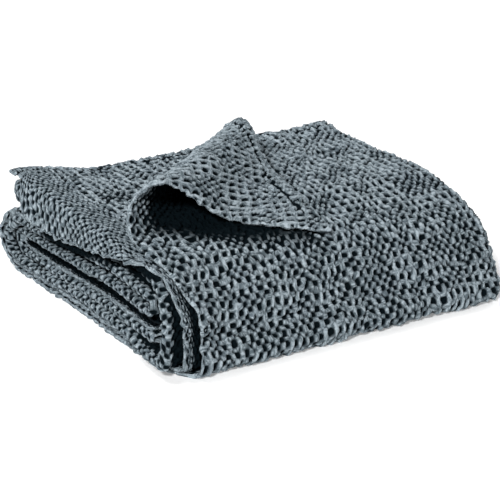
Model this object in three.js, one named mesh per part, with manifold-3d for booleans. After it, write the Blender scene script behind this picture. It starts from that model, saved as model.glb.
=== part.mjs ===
// A bedspread of thick honeycomb-woven cotton, folded and lying flat, as one closed body of cloth.
// Millimetres, +Z up. X runs along the long front fold, Y from the front to the back.
// The cloth is doubled twice across its width into a strip of four plies, and the strip is then
// laid back and forth in five passes. The back left corner of its topmost ply is turned over.

import * as THREE from 'three';
import Module from 'manifold-3d';

// The cloth
const clothThickness = 4.5;
const plyPitch = 6.5;
const plyCount = 4;
const passPitch = plyPitch * plyCount;
const leftBendDepth = 5;
const marginTurnLength = 14;

// The folded pack, before it settles. Its left end is near x = 0 and its front near y = 0.
const halfPack = (plyCount - 1) * plyPitch / 2 + clothThickness / 2;
const passLevel = (pass) => halfPack + (pass - 1) * passPitch;
const packHeight = passLevel(5) + halfPack;
const frontCentreY = 60;
const frontReach = 45;
const frontSquareness = 0.38;
const smallBendY = 60;
const backCentreY = 386;
const freeEndY = 54;
const underHemY = 412;

// The topmost ply: its back hem, and the corner that is turned over along a slightly bowed crease
const creaseStart = { x: 10, y: 84 };
const creaseEnd = { x: 330, y: 374 };
const creaseBow = 12;
const coverHem = { leftY: 359, rightX: 450, rightY: 398 };
const curlRadius = { start: 26, end: 23 };
const curlSlope = THREE.MathUtils.degToRad(45);
const curlEaseRadius = 50;
const curlRest = 7.5;
const curlShear = 0.44;
const curlStretch = 0.6;
const curlStretchWidth = 150;
const curlLap = 10;
const curlRootThickness = 3.4;

// The fold path of the strip, from its outer end on top of the pack to its inner end. The stations
// of a leg are the fractions of its length where its section is worked out.
const topLevel = passLevel(5);
const legs = [
  { name: 'top pass', stations: [0, 0.07, 0.17, 0.3, 0.45, 0.6, 0.73, 0.84, 0.92] },
  { name: 'front fold', stations: [0, 0.1, 0.2, 0.3, 0.4, 0.5, 0.56, 0.62, 0.69, 0.76, 0.83, 0.9, 0.96] },
  { name: 'bottom pass', stations: [0, 0.12, 0.3, 0.5, 0.7, 0.88] },
  { name: 'outer back fold', stations: [0, 0.11, 0.22, 0.33, 0.44, 0.56, 0.67, 0.78, 0.89] },
  { name: 'fourth pass', stations: [0, 0.12, 0.3, 0.5, 0.7, 0.88] },
  { name: 'small front fold', stations: [0, 0.2, 0.4, 0.6, 0.8] },
  { name: 'third pass', stations: [0, 0.15, 0.4, 0.65, 0.88] },
  { name: 'inner back fold', stations: [0, 0.2, 0.4, 0.6, 0.8] },
  { name: 'second pass', stations: [0, 0.15, 0.4, 0.7, 1] },
];

// The left end of the strip, one row for each place along the path: the leg's number and the
// fraction of its length. coverEdge is where the topmost ply ends. secondHinge is where the
// second ply starts to hang, secondTail how far it goes on and secondTurn how far it bends.
// The third and fourth ply are one bend that reaches to bendEdge and leans out by drift.
const leftEnd = [
  { at: 0.0, coverEdge: 10, secondHinge: 8, secondTail: 11, secondTurn: 0, bendEdge: 4, drift: 0 },
  { at: 0.08, coverEdge: 10, secondHinge: 12, secondTail: 10, secondTurn: 0, bendEdge: -4, drift: 0 },
  { at: 0.2, coverEdge: 10, secondHinge: 6, secondTail: 26, secondTurn: 55, bendEdge: 2, drift: 0 },
  { at: 0.45, coverEdge: 10, secondHinge: 5, secondTail: 33, secondTurn: 85, bendEdge: 2, drift: 0 },
  { at: 0.75, coverEdge: 10, secondHinge: 5, secondTail: 26, secondTurn: 80, bendEdge: 2, drift: 0 },
  { at: 0.92, coverEdge: 10, secondHinge: 7, secondTail: 16, secondTurn: 48, bendEdge: 4, drift: 0 },
  { at: 1.0, coverEdge: 13, secondHinge: 15, secondTail: 10, secondTurn: 3, bendEdge: 5, drift: 0 },
  { at: 1.2, coverEdge: 22, secondHinge: 26, secondTail: 8, secondTurn: 0, bendEdge: 6, drift: 1 },
  { at: 1.5, coverEdge: 38, secondHinge: 32, secondTail: 9, secondTurn: 0, bendEdge: 1, drift: 5 },
  { at: 1.75, coverEdge: 24, secondHinge: 22, secondTail: 9, secondTurn: 0, bendEdge: -12, drift: 4 },
  { at: 2.0, coverEdge: 2, secondHinge: 13, secondTail: 7, secondTurn: 0, bendEdge: -12, drift: 1 },
  { at: 2.15, coverEdge: 0, secondHinge: 14, secondTail: 10, secondTurn: 0, bendEdge: -3, drift: 0 },
  { at: 2.5, coverEdge: -1, secondHinge: 14, secondTail: 10, secondTurn: 0, bendEdge: 1, drift: 0 },
  { at: 3.0, coverEdge: -7, secondHinge: 8, secondTail: 10, secondTurn: 0, bendEdge: -7, drift: 0 },
  { at: 3.5, coverEdge: -8, secondHinge: 8, secondTail: 9, secondTurn: 0, bendEdge: -9, drift: 0 },
  { at: 4.0, coverEdge: 4, secondHinge: 13, secondTail: 11, secondTurn: 0, bendEdge: -3, drift: 0 },
  { at: 4.6, coverEdge: 12, secondHinge: 16, secondTail: 10, secondTurn: 6, bendEdge: -1, drift: 0 },
  { at: 5.0, coverEdge: 20, secondHinge: 24, secondTail: 8, secondTurn: 0, bendEdge: 1, drift: 2 },
  { at: 5.5, coverEdge: 34, secondHinge: 38, secondTail: 10, secondTurn: 0, bendEdge: 4, drift: 5 },
  { at: 6.0, coverEdge: 18, secondHinge: 26, secondTail: 8, secondTurn: 0, bendEdge: 1, drift: 2 },
  { at: 6.5, coverEdge: 12, secondHinge: 17, secondTail: 10, secondTurn: 0, bendEdge: -1, drift: 0 },
  { at: 7.5, coverEdge: 18, secondHinge: 18, secondTail: 8, secondTurn: 0, bendEdge: 2, drift: 0 },
  { at: 9.0, coverEdge: 14, secondHinge: 18, secondTail: 10, secondTurn: 0, bendEdge: 2, drift: 0 },
];

// How far the folded right end reaches, at the same places along the path
const rightEnd = [
  { at: 0.0, reach: 455 },
  { at: 0.5, reach: 448 },
  { at: 1.0, reach: 447 },
  { at: 1.6, reach: 445 },
  { at: 2.0, reach: 435 },
  { at: 3.0, reach: 448 },
  { at: 3.5, reach: 447 },
  { at: 4.5, reach: 442 },
  { at: 5.5, reach: 430 },
  { at: 6.5, reach: 440 },
  { at: 7.5, reach: 436 },
  { at: 9.0, reach: 432 },
];

// Levels of the plies in the strip, from its inner side: the second and third ply swell a little
// towards the left end
const plies = {
  cover: { level: 1.5 * plyPitch, swell: 0 },
  second: { level: 0.5 * plyPitch, swell: 1.0 },
  third: { level: -0.5 * plyPitch, swell: 1.4 },
  fourth: { level: -1.5 * plyPitch, swell: -0.2 },
};

// Where the settled layers lie. Each row is a height in the unsettled pack, and how far it sinks
// at the left end, how far more towards the back, and how far a gap opens there.
const settledLayers = [
  { height: 0, leftSink: 0, backSink: 0, leftOpen: 0, backOpen: 0 },
  { height: 6, leftSink: 0, backSink: 0, leftOpen: 0, backOpen: 0 },
  { height: 50, leftSink: 4, backSink: 8, leftOpen: 0, backOpen: -2.5 },
  { height: 52, leftSink: 4, backSink: 8, leftOpen: 0, backOpen: 2.5 },
  { height: 76, leftSink: 6, backSink: 14, leftOpen: -3, backOpen: 0 },
  { height: 78, leftSink: 6, backSink: 14, leftOpen: 3, backOpen: 0 },
  { height: 102, leftSink: 5, backSink: 20, leftOpen: 0, backOpen: 0 },
  { height: 104, leftSink: 5, backSink: 20, leftOpen: 0, backOpen: 6 },
  { height: packHeight, leftSink: 0, backSink: 0, leftOpen: 0, backOpen: 0 },
];

// How far the pack settles as a whole: the top drops towards the front, the right end and the
// middle of the back, and rises a little at the back left; the front slants and its foot spreads,
// most at the left end
const settling = {
  frontDrop: 18,
  frontDropRight: 8,
  rightDrop: 7,
  backSag: 9,
  backLift: 13,
  slant: 12,
  slantRight: 22,
  footSpread: 14,
  footSpreadLeft: 12,
  footHeight: 52,
};

const smooth = THREE.MathUtils.smoothstep;
const clamp = THREE.MathUtils.clamp;
const lerp = THREE.MathUtils.lerp;

// The values of a table's columns at a place between two of its rows
function tableRow(table, at) {
  let next = table.findIndex((row) => row.at >= at);
  if (next < 0) next = table.length - 1;
  const before = table[Math.max(next - 1, 0)];
  const after = table[next];
  const span = after.at - before.at;
  const part = span > 0 ? smooth(at, before.at, after.at) : 0;
  const values = {};
  for (const column of Object.keys(after)) values[column] = lerp(before[column], after[column], part);
  return values;
}

// The crease is an arc of a large circle through its two ends
const creaseChord = Math.hypot(creaseEnd.x - creaseStart.x, creaseEnd.y - creaseStart.y);
const creaseRadius = (creaseChord ** 2 / 4 + creaseBow ** 2) / (2 * creaseBow);
const creaseHalfAngle = Math.asin(creaseChord / 2 / creaseRadius);
const creaseHeading = Math.atan2(creaseEnd.y - creaseStart.y, creaseEnd.x - creaseStart.x)
  - creaseHalfAngle;
const creaseLength = 2 * creaseHalfAngle * creaseRadius;
const creaseCentre = {
  x: creaseStart.x - creaseRadius * Math.sin(creaseHeading),
  y: creaseStart.y + creaseRadius * Math.cos(creaseHeading),
};

// A point on the crease, its direction along the crease and its direction across it
function creaseAt(along) {
  const heading = creaseHeading + along / creaseRadius;
  return {
    x: creaseCentre.x + creaseRadius * Math.sin(heading),
    y: creaseCentre.y - creaseRadius * Math.cos(heading),
    heading,
    alongX: Math.cos(heading),
    alongY: Math.sin(heading),
    acrossX: Math.sin(heading),
    acrossY: -Math.cos(heading),
  };
}

// Where the crease is at a given y
function creaseX(y) {
  const drop = clamp((creaseCentre.y - y) / creaseRadius, -1, 1);
  return creaseCentre.x + creaseRadius * Math.sqrt(1 - drop ** 2);
}

// The back hem of the topmost ply: straight from the turned corner to the crease's end, and
// straight on from there to the right end
const hemSlope = (creaseEnd.y - coverHem.leftY) / (creaseEnd.x - creaseStart.x);
const hemSlopeRight = (coverHem.rightY - creaseEnd.y) / (coverHem.rightX - creaseEnd.x);

function coverHemY(x) {
  const slope = x < creaseEnd.x ? hemSlope : hemSlopeRight;
  return creaseEnd.y + (x - creaseEnd.x) * slope;
}

// A point of the unsettled pack: a leg and the fraction of it, the place x across the strip, the
// offset from the strip's middle towards the cover ply, and how much it belongs to the cover
function packPoint(leg, part, x, offset, cover) {
  const angle = Math.PI * part;
  const backFold = passLevel(2.5);
  switch (leg) {
    case 0: {
      const hem = lerp(underHemY, coverHemY(x), cover);
      return [x, lerp(hem, frontCentreY, part), topLevel + offset];
    }
    case 1: {
      const reach = frontReach + offset;
      const rise = 2 * passPitch + offset;
      if (part <= 0.5) {
        return [x, frontCentreY - reach * Math.sin(angle), passLevel(3) + rise * Math.cos(angle)];
      }
      const turn = Math.PI / 4 * (1 - Math.cos(Math.PI * (2 * part - 1)));
      const y = frontCentreY - reach * Math.cos(turn) ** frontSquareness;
      return [x, y, passLevel(3) - rise * Math.sin(turn) ** frontSquareness];
    }
    case 2:
      return [x, lerp(frontCentreY, backCentreY, part), passLevel(1) - offset];
    case 3: {
      const radius = 1.5 * passPitch + offset;
      return [x, backCentreY + radius * Math.sin(angle), backFold - radius * Math.cos(angle)];
    }
    case 4:
      return [x, lerp(backCentreY, smallBendY, part), passLevel(4) + offset];
    case 5: {
      const radius = passPitch / 2 + offset;
      return [x, smallBendY - radius * Math.sin(angle), passLevel(3.5) + radius * Math.cos(angle)];
    }
    case 6:
      return [x, lerp(smallBendY, backCentreY, part), passLevel(3) - offset];
    case 7: {
      const radius = passPitch / 2 - offset;
      return [x, backCentreY + radius * Math.sin(angle), backFold + radius * Math.cos(angle)];
    }
    default:
      return [x, lerp(backCentreY, freeEndY, part), passLevel(2) + offset];
  }
}

// How the pack settles: the layers sink at the left end and the back, gaps open between them, the
// top rounds down to a slanting front, and the foot of the front fold spreads
function settle([x, y, z]) {
  const left = 1 - smooth(x, 60, 300);
  const right = smooth(x, 40, 430);
  const back = smooth(y, 120, 380) * (0.4 + 0.6 * left);
  const slotOpen = left * smooth(y, 20, 60);
  const cavityOpen = left * smooth(y, 120, 380);
  const frontDrop = (settling.frontDrop + settling.frontDropRight * right) * (1 - smooth(y, 0, 170));
  const rightDrop = settling.rightDrop * smooth(x, 150, 420) * (1 - smooth(y, 330, 400));
  const sagPlace = smooth(x, 30, 110) * (1 - smooth(x, 230, 300)) * smooth(y, 300, 400);
  const liftPlace = (1 - smooth(x, 20, 130)) * smooth(y, 150, 380);
  const topDrop = frontDrop + rightDrop + settling.backSag * sagPlace - settling.backLift * liftPlace;
  const squash = 1 - frontDrop / packHeight;

  const inPack = clamp(z, 0, packHeight);
  const above = settledLayers.findIndex((layer) => layer.height >= inPack && layer.height > 0);
  const under = above - 1;
  const settledHeight = (layer) => {
    if (layer.height === packHeight) return packHeight - topDrop;
    if (layer.height <= settledLayers[1].height) return layer.height;
    const sunk = layer.height - layer.leftSink * left - layer.backSink * back;
    return (sunk + layer.leftOpen * slotOpen + layer.backOpen * cavityOpen) * squash;
  };
  const layerPart = (inPack - settledLayers[under].height)
    / (settledLayers[above].height - settledLayers[under].height);
  const layerHeight = lerp(
    settledHeight(settledLayers[under]), settledHeight(settledLayers[above]), layerPart);
  const settledZ = layerHeight + z - inPack;

  const slant = (settling.slant + settling.slantRight * right) * smooth(inPack / packHeight, 0, 0.9);
  const foot = (settling.footSpread + settling.footSpreadLeft * (1 - right))
    * (1 - smooth(inPack, 0, settling.footHeight)) * (1 - smooth(y, 10, 150));
  const settledY = y + slant * (1 - smooth(y, -20, 230)) - foot;
  return [x, settledY, settledZ];
}

// The middle line of the four plies across the strip at one place along the path, as points of
// x, offset and cover share: cover ply, outer bend at the right, fourth ply, bend at the left,
// third ply, inner bend at the right, second ply and its hanging margin
function stripSection(leg, part) {
  const end = tableRow(leftEnd, leg + part);
  const reach = tableRow(rightEnd, leg + part).reach;
  const level = (ply, x) => {
    const swell = plies[ply].swell * (1 - smooth(x, end.bendEdge + 4, end.bendEdge + 45));
    const leaning = { cover: 0, second: 0, third: 1, fourth: 1 }[ply];
    const drift = end.drift * leaning * (1 - smooth(x, end.bendEdge + 2, end.bendEdge + 16));
    return plies[ply].level + swell + drift;
  };
  const points = [];
  const bendX = reach - halfPack;
  const outerRadius = plies.cover.level;
  const innerRadius = plies.second.level;

  const coverStart = leg === 0 ? trimmedCoverEdge(part, end.coverEdge) : end.coverEdge;
  for (const share of [0, 0.05, 0.14, 0.36, 0.6, 0.82, 1]) {
    const x = lerp(coverStart, bendX, share);
    points.push([x, level('cover', x), 1]);
  }
  for (let step = 1; step < 5; step++) {
    const turn = Math.PI * step / 5;
    points.push([bendX + outerRadius * Math.sin(turn), outerRadius * Math.cos(turn), 1 - step / 5]);
  }

  const leftX = end.bendEdge + leftBendDepth + clothThickness / 2;
  for (const share of [1, 0.82, 0.58, 0.32, 0.09, 0.02, 0]) {
    const x = lerp(leftX, bendX, share);
    points.push([x, level('fourth', x), 0]);
  }
  const bendMiddle = (level('third', leftX) + level('fourth', leftX)) / 2;
  const bendRise = (level('third', leftX) - level('fourth', leftX)) / 2;
  for (let step = 1; step < 4; step++) {
    const turn = Math.PI * step / 4;
    points.push([leftX - leftBendDepth * Math.sin(turn), bendMiddle - bendRise * Math.cos(turn), 0]);
  }
  for (const share of [0, 0.02, 0.09, 0.32, 0.58, 0.82, 1]) {
    const x = lerp(leftX, bendX, share);
    points.push([x, level('third', x), 0]);
  }
  for (let step = 1; step < 3; step++) {
    const turn = Math.PI * step / 3;
    points.push([bendX + innerRadius * Math.sin(turn), -innerRadius * Math.cos(turn), 0]);
  }

  for (const share of [1, 0.82, 0.58, 0.32, 0.1, 0]) {
    const x = lerp(end.secondHinge, bendX, share);
    points.push([x, level('second', x), 0]);
  }
  const turnAll = THREE.MathUtils.degToRad(end.secondTurn);
  const turnLength = Math.min(marginTurnLength, end.secondTail);
  let tail = [end.secondHinge, level('second', end.secondHinge)];
  for (const [from, to] of [[0, 0.5], [0.5, 1]]) {
    const turn = turnAll * (from + to) / 2;
    const step = turnLength * (to - from);
    tail = [tail[0] - step * Math.cos(turn), tail[1] - step * Math.sin(turn)];
    points.push([...tail, 0]);
  }
  const straight = Math.max(end.secondTail - turnLength, 2);
  points.push([tail[0] - straight * Math.cos(turnAll), tail[1] - straight * Math.sin(turnAll), 0]);
  return points;
}

// The topmost ply ends along the crease wherever its corner is turned over
function trimmedCoverEdge(part, selvedgeX) {
  let x = selvedgeX;
  for (let round = 0; round < 8; round++) {
    const y = lerp(coverHemY(x), frontCentreY, part);
    x = y > creaseStart.y ? creaseX(y) + 2 : selvedgeX;
  }
  return x;
}

// The two sides of the cloth in a section: its middle line moved half a thickness either way
function clothSides(line) {
  const half = clothThickness / 2;
  const sides = { left: [], right: [] };
  for (let i = 0; i < line.length; i++) {
    const from = line[Math.max(i - 1, 0)];
    const to = line[Math.min(i + 1, line.length - 1)];
    const here = line[i];
    const unit = (a, b) => {
      const length = Math.hypot(b[0] - a[0], b[1] - a[1]) || 1;
      return [(b[0] - a[0]) / length, (b[1] - a[1]) / length];
    };
    const before = i > 0 ? unit(from, here) : unit(here, to);
    const after = i < line.length - 1 ? unit(here, to) : before;
    const middle = unit([0, 0], [before[0] + after[0], before[1] + after[1]]);
    const mitre = Math.max(middle[0] * after[0] + middle[1] * after[1], 0.7);
    const shift = half / mitre;
    sides.left.push([here[0] - middle[1] * shift, here[1] + middle[0] * shift, here[2]]);
    sides.right.push([here[0] + middle[1] * shift, here[1] - middle[0] * shift, here[2]]);
  }
  return sides;
}

// A closed body from rings of equal length: walls between the rings, and a strip of faces that
// closes each end ring between its first half and its second half
function bodyFromRings(rings) {
  const count = rings[0].length;
  const half = count / 2;
  const triangles = [];
  for (let r = 0; r < rings.length - 1; r++) {
    for (let i = 0; i < count; i++) {
      const a = r * count + i;
      const b = r * count + (i + 1) % count;
      triangles.push([a, b, b + count], [a, b + count, a + count]);
    }
  }
  for (const [ring, flip] of [[0, true], [rings.length - 1, false]]) {
    const base = ring * count;
    for (let i = 0; i < half - 1; i++) {
      const a = base + i;
      const b = base + i + 1;
      const c = base + count - 2 - i;
      const d = base + count - 1 - i;
      const faces = [[a, b, c], [a, c, d]];
      for (const face of faces) triangles.push(flip ? face.reverse() : face);
    }
  }
  return { vertices: rings.flat(), triangles };
}

// The folded strip, with its topmost ply cut short along the crease
function foldedStrip() {
  const rings = [];
  legs.forEach((leg, number) => {
    for (const part of leg.stations) {
      const { left, right } = clothSides(stripSection(number, part));
      const outline = [...left, ...right.reverse()];
      rings.push(outline.map(([x, offset, cover]) => (
        settle(packPoint(number, part, x, offset, cover)))));
    }
  });
  return bodyFromRings(rings);
}

// The section of the turned corner across its crease, at a length of cloth past the crease: how
// far it is across, and how high. It curls back over a round crest, slopes down and eases flat.
function curlSection(length, radius) {
  const roundLength = radius * (Math.PI + curlSlope);
  const easeLength = curlEaseRadius * curlSlope;
  const fall = radius * (1 + Math.cos(curlSlope)) - curlEaseRadius * (1 - Math.cos(curlSlope));
  const slopeLength = (fall - curlRest) / Math.sin(curlSlope);
  const turned = clamp(length, 0, roundLength) / radius;
  let across = -radius * Math.sin(turned);
  let height = radius * (1 - Math.cos(turned));
  const down = clamp(length - roundLength, 0, slopeLength);
  across += down * Math.cos(curlSlope);
  height -= down * Math.sin(curlSlope);
  const eased = clamp(length - roundLength - slopeLength, 0, easeLength) / curlEaseRadius;
  across += curlEaseRadius * (Math.sin(curlSlope) - Math.sin(curlSlope - eased));
  height -= curlEaseRadius * (Math.cos(curlSlope - eased) - Math.cos(curlSlope));
  across += Math.max(length - roundLength - slopeLength - easeLength, 0);
  across -= Math.min(length, 0);
  return { across, height };
}

// How far the turned corner's cloth goes on past the crease: to its selvedge or to its back hem
function cornerLength(along) {
  const crease = creaseAt(along);
  const cos = Math.cos(crease.heading);
  const sin = Math.sin(crease.heading);
  const toSelvedge = (crease.x - creaseStart.x) / sin;
  const hemHere = coverHem.leftY + hemSlope * (crease.x - creaseStart.x);
  const toHem = (hemHere - crease.y) / (cos + hemSlope * sin);
  return Math.min(toSelvedge, toHem);
}

// A point of the turned corner, settled with the pack under it
function cornerPoint(along, length) {
  const crease = creaseAt(along);
  const radius = lerp(curlRadius.start, curlRadius.end, along / creaseLength);
  const { across, height } = curlSection(length, radius);
  const stretched = across * (1 + curlStretch * clamp(across / curlStretchWidth, 0, 1));
  const sheared = curlShear * Math.max(across, 0);
  const x = crease.x + stretched * crease.acrossX - sheared * crease.alongX;
  const y = crease.y + stretched * crease.acrossY - sheared * crease.alongY;
  return new THREE.Vector3(...settle([x, y, topLevel + plies.cover.level + height]));
}

// The turned corner as a body of its own: a grid along and across the crease, cut off at the
// cloth's edge and given its thickness both ways. Its root is thinner and lies inside the topmost
// ply, so that the two join.
function turnedCorner() {
  const alongShares = [
    0.018, 0.036, 0.055, 0.074, 0.094, 0.115, 0.138, 0.165, 0.2, 0.25, 0.31, 0.38, 0.45,
    0.52, 0.6, 0.68, 0.76, 0.82, 0.87, 0.905, 0.935, 0.96, 0.982,
  ];
  const lengths = [-curlLap, 0, 13, 26, 39, 52, 65, 78, 91, 104, 122, 142, 165, 190, 230];
  const vertices = [];
  const rows = alongShares.map((share) => {
    const along = share * creaseLength;
    const total = cornerLength(along);
    let last = -1;
    return lengths.map((length, column) => {
      const cutOff = column > 0 && lengths[column - 1] > total - 3;
      if (cutOff) return last;
      const nextCutOff = lengths[column] > total - 3;
      vertices.push({
        point: cornerPoint(along, nextCutOff ? total : length),
        half: (column < 2 ? curlRootThickness : clothThickness) / 2,
      });
      last = vertices.length - 1;
      return last;
    });
  });
  const faces = [];
  for (let i = 0; i < rows.length - 1; i++) {
    for (let j = 0; j < lengths.length - 1; j++) {
      const [a, b, c, d] = [rows[i][j], rows[i + 1][j], rows[i + 1][j + 1], rows[i][j + 1]];
      for (const face of [[a, b, c], [a, c, d]]) {
        if (new Set(face).size === 3) faces.push(face);
      }
    }
  }
  return thickened(vertices, faces);
}

// A closed body from an open surface: its points moved half the thickness to either side along
// their normals, and walls along its open edges
function thickened(vertices, faces) {
  const normals = vertices.map(() => new THREE.Vector3());
  const openEdges = new Map();
  for (const [a, b, c] of faces) {
    const sideOne = new THREE.Vector3().subVectors(vertices[b].point, vertices[a].point);
    const sideTwo = new THREE.Vector3().subVectors(vertices[c].point, vertices[a].point);
    const faceNormal = sideOne.cross(sideTwo);
    for (const corner of [a, b, c]) normals[corner].add(faceNormal);
    for (const [from, to] of [[a, b], [b, c], [c, a]]) {
      if (!openEdges.delete(`${to} ${from}`)) openEdges.set(`${from} ${to}`, [from, to]);
    }
  }
  const moved = (side) => vertices.map(({ point, half }, i) => (
    point.clone().addScaledVector(normals[i].clone().normalize(), side * half).toArray()));
  const count = vertices.length;
  const triangles = [
    ...faces,
    ...faces.map(([a, b, c]) => [a + count, c + count, b + count]),
  ];
  for (const [from, to] of openEdges.values()) {
    triangles.push([to, from, from + count], [to, from + count, to + count]);
  }
  return { vertices: [...moved(1), ...moved(-1)], triangles };
}

const wasm = await Module();
wasm.setup();

// A body as a solid, with its faces turned outwards
function solid({ vertices, triangles }) {
  let volume = 0;
  for (const [a, b, c] of triangles) {
    const [p, q, r] = [vertices[a], vertices[b], vertices[c]].map((v) => new THREE.Vector3(...v));
    volume += p.dot(q.cross(r));
  }
  const outward = volume > 0 ? triangles : triangles.map(([a, b, c]) => [a, c, b]);
  return new wasm.Manifold(new wasm.Mesh({
    numProp: 3,
    vertProperties: new Float32Array(vertices.flat()),
    triVerts: new Uint32Array(outward.flat()),
  }));
}

const cloth = solid(foldedStrip()).add(solid(turnedCorner())).getMesh();
const geometry = new THREE.BufferGeometry();
geometry.setAttribute('position', new THREE.BufferAttribute(cloth.vertProperties, cloth.numProp));
geometry.setIndex(new THREE.BufferAttribute(cloth.triVerts, 1));

// The origin is under the middle of the pack
geometry.computeBoundingBox();
const box = geometry.boundingBox;
geometry.translate(-(box.min.x + box.max.x) / 2, -(box.min.y + box.max.y) / 2, -box.min.z);
geometry.computeVertexNormals();

const material = new THREE.MeshStandardMaterial({ color: 0x66757c, roughness: 0.95, metalness: 0 });
const bedspread = new THREE.Mesh(geometry, material);
bedspread.name = 'bedspread';

const part = new THREE.Group();
part.add(bedspread);
export default part;
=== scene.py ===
import math
import bpy
import numpy as np
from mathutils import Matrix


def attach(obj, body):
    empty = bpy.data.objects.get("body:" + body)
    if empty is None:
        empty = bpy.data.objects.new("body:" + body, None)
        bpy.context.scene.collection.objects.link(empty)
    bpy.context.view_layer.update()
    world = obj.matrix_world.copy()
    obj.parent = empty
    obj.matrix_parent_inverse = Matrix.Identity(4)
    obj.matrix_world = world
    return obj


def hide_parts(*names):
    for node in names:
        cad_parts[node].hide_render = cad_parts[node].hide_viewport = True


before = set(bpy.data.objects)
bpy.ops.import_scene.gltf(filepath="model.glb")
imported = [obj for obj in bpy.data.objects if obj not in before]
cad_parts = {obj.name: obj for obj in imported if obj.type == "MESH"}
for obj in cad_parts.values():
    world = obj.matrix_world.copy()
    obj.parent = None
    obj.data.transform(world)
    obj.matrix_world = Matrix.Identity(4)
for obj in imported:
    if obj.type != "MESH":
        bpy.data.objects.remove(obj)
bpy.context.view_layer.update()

# A folded bedspread of thick honeycomb-woven cotton. Lengths are in millimetres until a mesh is made.
# Every place on the cloth has two flat coordinates: across, from the topmost ply's open edge at the
# left round the bends to the second ply's margin, and along, from the back hem down the fold path.
# The place on the fold path, at, counts its nine legs: 0 to 1 is the top pass, 1 to 2 the front fold,
# 2 to 3 the lowest pass, and so on. Side 1 of the cloth is up on the topmost ply, side -1 is down.

print("folded honeycomb bedspread: shape")

cloth = {
    "half": 2.25,  # half the thickness of the cloth, without its raised cells
    "plyPitch": 6.5,  # from one ply to the next
    "plyWidth": 425,  # across one ply
    "outerBend": 30.6,  # across the bend at the right, cover ply to fourth ply
    "leftBend": 14,  # across the loose bend at the left, fourth ply to third ply
    "innerBend": 10.2,  # across the inner bend at the right, third ply to second ply
    "margin": 26,  # across the second ply's hanging margin
    "leftBendDepth": 5,  # how far the loose bend's half-round reaches out
    "marginTurn": 14,  # length over which the margin bends down
    "leastTurn": 0.5,  # degrees, where the margin lies flat
    "leastTail": 2,
    "swell": {"second": 1, "third": 1.4, "fourth": -0.2},  # rise of each ply at its left end
    "swellFade": (4, 45), "leanFade": (2, 16),  # where the rise and the lean end, from the loose bend
    "cornerRound": 15,  # radius of the cloth's own corners
    "thinnest": 0.9,  # at the bottom of a hollow
    "middle": (220.3377, 211.0504),  # of the pack, which stands over the origin
}

pack = {
    "pass": 26,  # four plies
    "half": 12,  # half the height of one pass
    "height": 128,
    "frontY": 60, "frontReach": 45,  # where the big front fold begins, and how far it reaches
    "frontSquare": 0.38,  # power of its lower half's cosine and sine
    "smallY": 60, "backY": 386,  # where the small front fold and the back folds begin
    "endY": 54, "underHemY": 412,  # the path's end, and the hems under the topmost ply
}

# the left end: place on the path, x of the cover's edge and of the second ply's hinge, the length
# and the turn in degrees of its margin, x of the loose bend, and how far that leans up
leftEnd = np.array([
    (0.00, 10, 8, 11, 0, 4, 0),
    (0.08, 10, 12, 10, 0, -4, 0),
    (0.20, 10, 6, 26, 55, 2, 0),
    (0.45, 10, 5, 33, 85, 2, 0),
    (0.75, 10, 5, 26, 80, 2, 0),
    (0.92, 10, 7, 16, 48, 4, 0),
    (1.00, 13, 15, 10, 3, 5, 0),
    (1.20, 22, 26, 8, 0, 6, 1),
    (1.50, 38, 32, 9, 0, 1, 5),
    (1.75, 24, 22, 9, 0, -12, 4),
    (2.00, 2, 13, 7, 0, -12, 1),
    (2.15, 0, 14, 10, 0, -3, 0),
    (2.50, -1, 14, 10, 0, 1, 0),
    (3.00, -7, 8, 10, 0, -7, 0),
    (3.50, -8, 8, 9, 0, -9, 0),
    (4.00, 4, 13, 11, 0, -3, 0),
    (4.60, 12, 16, 10, 6, -1, 0),
    (5.00, 20, 24, 8, 0, 1, 2),
    (5.50, 34, 38, 10, 0, 4, 5),
    (6.00, 18, 26, 8, 0, 1, 2),
    (6.50, 12, 17, 10, 0, -1, 0),
    (7.50, 18, 18, 8, 0, 2, 0),
    (9.00, 14, 18, 10, 0, 2, 0),
], float)

# the right end: place on the path, and x of the folded end
rightEnd = np.array([
    (0.0, 455), (0.5, 448), (1.0, 447), (1.6, 445), (2.0, 435), (3.0, 448), (3.5, 447),
    (4.5, 442), (5.5, 430), (6.5, 440), (7.5, 436), (9.0, 432),
], float)

# heights in the unsettled pack: sink at the left, more at the back, gap at the left, gap at the back
settledLayers = np.array([
    (0, 0, 0, 0, 0), (6, 0, 0, 0, 0), (50, 4, 8, 0, -2.5), (52, 4, 8, 0, 2.5), (76, 6, 14, -3, 0),
    (78, 6, 14, 3, 0), (102, 5, 20, 0, 0), (104, 5, 20, 0, 6), (128, 0, 0, 0, 0),
], float)

# drops and lifts in millimetres, each with the ranges of x and y over which it eases in or out
settling = {
    "leftX": (60, 300), "rightX": (40, 430), "backY": (120, 380), "gapY": (20, 60),  # all layers
    "backShare": (0.4, 0.6),  # of the drop at the back: everywhere, and more at the left
    "frontDrop": 18, "frontDropRight": 8, "frontDropY": (0, 170),
    "rightDrop": 7, "rightDropX": (150, 420), "rightDropY": (330, 400),
    "backSag": 9, "sagInX": (30, 110), "sagOutX": (230, 300), "sagY": (300, 400),
    "backLift": 13, "liftX": (20, 130), "liftY": (150, 380),
    "slant": 12, "slantRight": 22, "slantRise": (0, 0.9), "slantY": (-20, 230),
    "foot": 14, "footLeft": 12, "footHeight": 52, "footY": (10, 150),
    "firm": 6,  # the height of the lowest ply, which stays as it is
}

corner = {
    "start": (10, 84), "end": (330, 374), "bow": 12,  # the crease it is turned over on
    "hemLeft": 359, "hemRight": (450, 398),  # y of the hem's left end, and its right end
    "radius": (26, 23),  # of the curl, at the crease's start and end
    "slope": math.radians(45), "ease": 50,  # its way down, and the arc in which that flattens
    "rest": 7.5,  # height of the flat end over the top
    "shear": 0.44, "stretch": 0.6, "stretchWidth": 150,
}

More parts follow.
